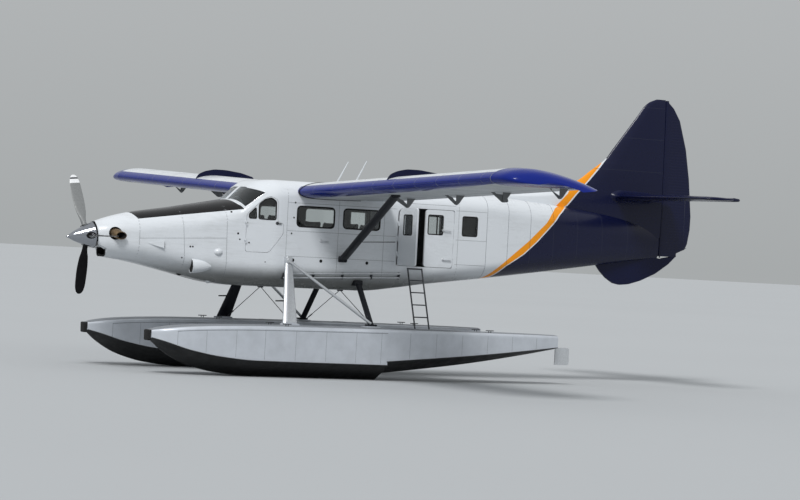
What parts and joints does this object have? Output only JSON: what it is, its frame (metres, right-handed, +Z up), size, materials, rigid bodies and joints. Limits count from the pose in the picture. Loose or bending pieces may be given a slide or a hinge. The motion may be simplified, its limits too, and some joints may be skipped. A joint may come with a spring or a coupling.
{
  "type": "single-engine turboprop floatplane",
  "caption": "High-wing strut-braced turboprop utility aircraft on twin floats, with working control surfaces, doors, water rudders and propeller.",
  "frame": {"origin": "on the floor under the float keels, midway between spinner tip and rudder and midway between the wing tips", "axes": "+X aft, +Y to starboard along the wing span, +Z up"},
  "size_m": [14.265, 17.69, 6.032],
  "materials": {
    "white_paint": "gloss white aircraft enamel over aluminium skin",
    "navy_paint": "gloss navy enamel",
    "blue_paint": "gloss royal blue enamel",
    "float_alloy": "bare riveted sheet, dull",
    "grey_paint": "satin grey enamel",
    "steel": "heat-tinted steel",
    "polished_metal": "polished",
    "blade_paint": "matt black",
    "glazing": "clear acrylic",
    "rubber": "black rubber",
    "seat_trim": "dark leather"
  },
  "bodies": {
    "airframe": {"boarding_ladder": "float_alloy", "brace_wires_front": "steel", "brace_wires_rear": "steel", "cabin_belly": "white_paint", "cabin_glass_port": "glazing", "cabin_glass_starboard": "glazing", "cabin_roof": "white_paint", "cabin_seats": "seat_trim", "cabin_side_port": "white_paint", "cabin_side_starboard": "white_paint", "cowl_lower": "white_paint", "cowl_upper": "white_paint", "engine": "steel", "fin": "navy_paint", "firewall": "grey_paint", "float_bumper_port": "rubber", "float_bumper_starboard": "rubber", "float_port": "float_alloy", "float_starboard": "float_alloy", "float_strut_front_port": "grey_paint", "float_strut_front_starboard": "grey_paint", "float_strut_rear_port": "grey_paint", "float_strut_rear_starboard": "grey_paint", "pilot_seats": "seat_trim", "side_rail_port": "float_alloy", "side_rail_starboard": "float_alloy", "spreader_bar_front": "float_alloy", "spreader_bar_rear": "float_alloy", "tail_cone": "navy_paint", "tailplane": "navy_paint", "ventral_fin": "navy_paint", "windshield_glass": "glazing", "wing_port": "blue_paint", "wing_starboard": "blue_paint", "wing_strut_port": "navy_paint", "wing_strut_starboard": "navy_paint", "wing_tip_port": "blue_paint", "wing_tip_starboard": "blue_paint"},
    "propeller": {"spinner": "polished_metal", "propeller_blade_1": "blade_paint", "propeller_blade_2": "blade_paint", "propeller_blade_3": "blade_paint"},
    "rudder_body": {"rudder": "navy_paint"},
    "elevators": {"elevator_port": "navy_paint", "elevator_starboard": "navy_paint"},
    "aileron_starboard_body": {"aileron_starboard": "white_paint"},
    "aileron_port_body": {"aileron_port": "white_paint"},
    "flap_starboard_body": {"flap_starboard": "white_paint"},
    "flap_port_body": {"flap_port": "white_paint"},
    "cockpit_door_port_body": {"cockpit_door_port": "white_paint"},
    "cockpit_door_starboard_body": {"cockpit_door_starboard": "white_paint"},
    "cabin_door_port_front_body": {"cabin_door_port_front": "white_paint"},
    "cabin_door_port_rear_body": {"cabin_door_port_rear": "white_paint"},
    "cabin_door_starboard_body": {"cabin_door_starboard": "white_paint"},
    "water_rudder_port_body": {"water_rudder_port": "float_alloy"},
    "water_rudder_starboard_body": {"water_rudder_starboard": "float_alloy"}
  },
  "joints": [
    {"name": "propeller_spin", "type": "hinge", "parent": "airframe", "child": "propeller", "pos_m": [-6.7051, 0, 2.5202], "axis": [0.994, 0, 0.1098], "continuous": true},
    {"name": "rudder_turn", "type": "hinge", "parent": "airframe", "child": "rudder_body", "pos_m": [6.3915, 0, 3.55], "axis": [0, 0, 1], "range_deg": [-25, 25]},
    {"name": "elevator_tilt", "type": "hinge", "parent": "airframe", "child": "elevators", "pos_m": [6.0515, 0, 3.97], "axis": [0, 1, 0], "range_deg": [-27, 15]},
    {"name": "aileron_starboard_tilt", "type": "hinge", "parent": "airframe", "child": "aileron_starboard_body", "pos_m": [-1.1485, 5.06, 3.4854], "axis": [0, 0.9992, 0.0393], "range_deg": [-17, 17]},
    {"name": "aileron_port_tilt", "type": "hinge", "parent": "airframe", "child": "aileron_port_body", "pos_m": [-1.1485, -5.06, 3.4854], "axis": [0, 0.9992, -0.0393], "range_deg": [-17, 17]},
    {"name": "flap_starboard_drop", "type": "hinge", "parent": "airframe", "child": "flap_starboard_body", "pos_m": [-1.1485, 0.9, 3.322], "axis": [0, 0.9992, 0.0393], "range_deg": [0, 50]},
    {"name": "flap_port_drop", "type": "hinge", "parent": "airframe", "child": "flap_port_body", "pos_m": [-1.1485, -0.9, 3.322], "axis": [0, 0.9992, -0.0393], "range_deg": [0, 50]},
    {"name": "cockpit_door_port_swing", "type": "hinge", "parent": "airframe", "child": "cockpit_door_port_body", "pos_m": [-3.7115, -0.771, 2.75], "axis": [0, 0, -1], "range_deg": [0, 75]},
    {"name": "cockpit_door_starboard_swing", "type": "hinge", "parent": "airframe", "child": "cockpit_door_starboard_body", "pos_m": [-3.7115, 0.771, 2.75], "axis": [0, 0, 1], "range_deg": [0, 75]},
    {"name": "cabin_door_port_front_swing", "type": "hinge", "parent": "airframe", "child": "cabin_door_port_front_body", "pos_m": [-0.4255, -0.861, 2.75], "axis": [0, 0, -1], "range_deg": [-84, 6]},
    {"name": "cabin_door_port_rear_swing", "type": "hinge", "parent": "airframe", "child": "cabin_door_port_rear_body", "pos_m": [0.8645, -0.822, 2.75], "axis": [0, 0, 1], "range_deg": [0, 90]},
    {"name": "cabin_door_starboard_swing", "type": "hinge", "parent": "airframe", "child": "cabin_door_starboard_body", "pos_m": [-0.1715, 0.861, 2.75], "axis": [0, 0, 1], "range_deg": [0, 90]},
    {"name": "water_rudder_port_turn", "type": "hinge", "parent": "airframe", "child": "water_rudder_port_body", "pos_m": [2.9565, -1.556, 0.65], "axis": [0, 0, 1], "range_deg": [-30, 30]},
    {"name": "water_rudder_starboard_turn", "type": "hinge", "parent": "airframe", "child": "water_rudder_starboard_body", "pos_m": [2.9565, 1.556, 0.65], "axis": [0, 0, 1], "range_deg": [-30, 30]}
  ],
  "couplings": [
    {"joint": "aileron_port_tilt", "follows": "aileron_starboard_tilt", "ratio": -1},
    {"joint": "flap_port_drop", "follows": "flap_starboard_drop", "ratio": 1},
    {"joint": "water_rudder_port_turn", "follows": "rudder_turn", "ratio": 1.2},
    {"joint": "water_rudder_starboard_turn", "follows": "rudder_turn", "ratio": 1.2}
  ]
}
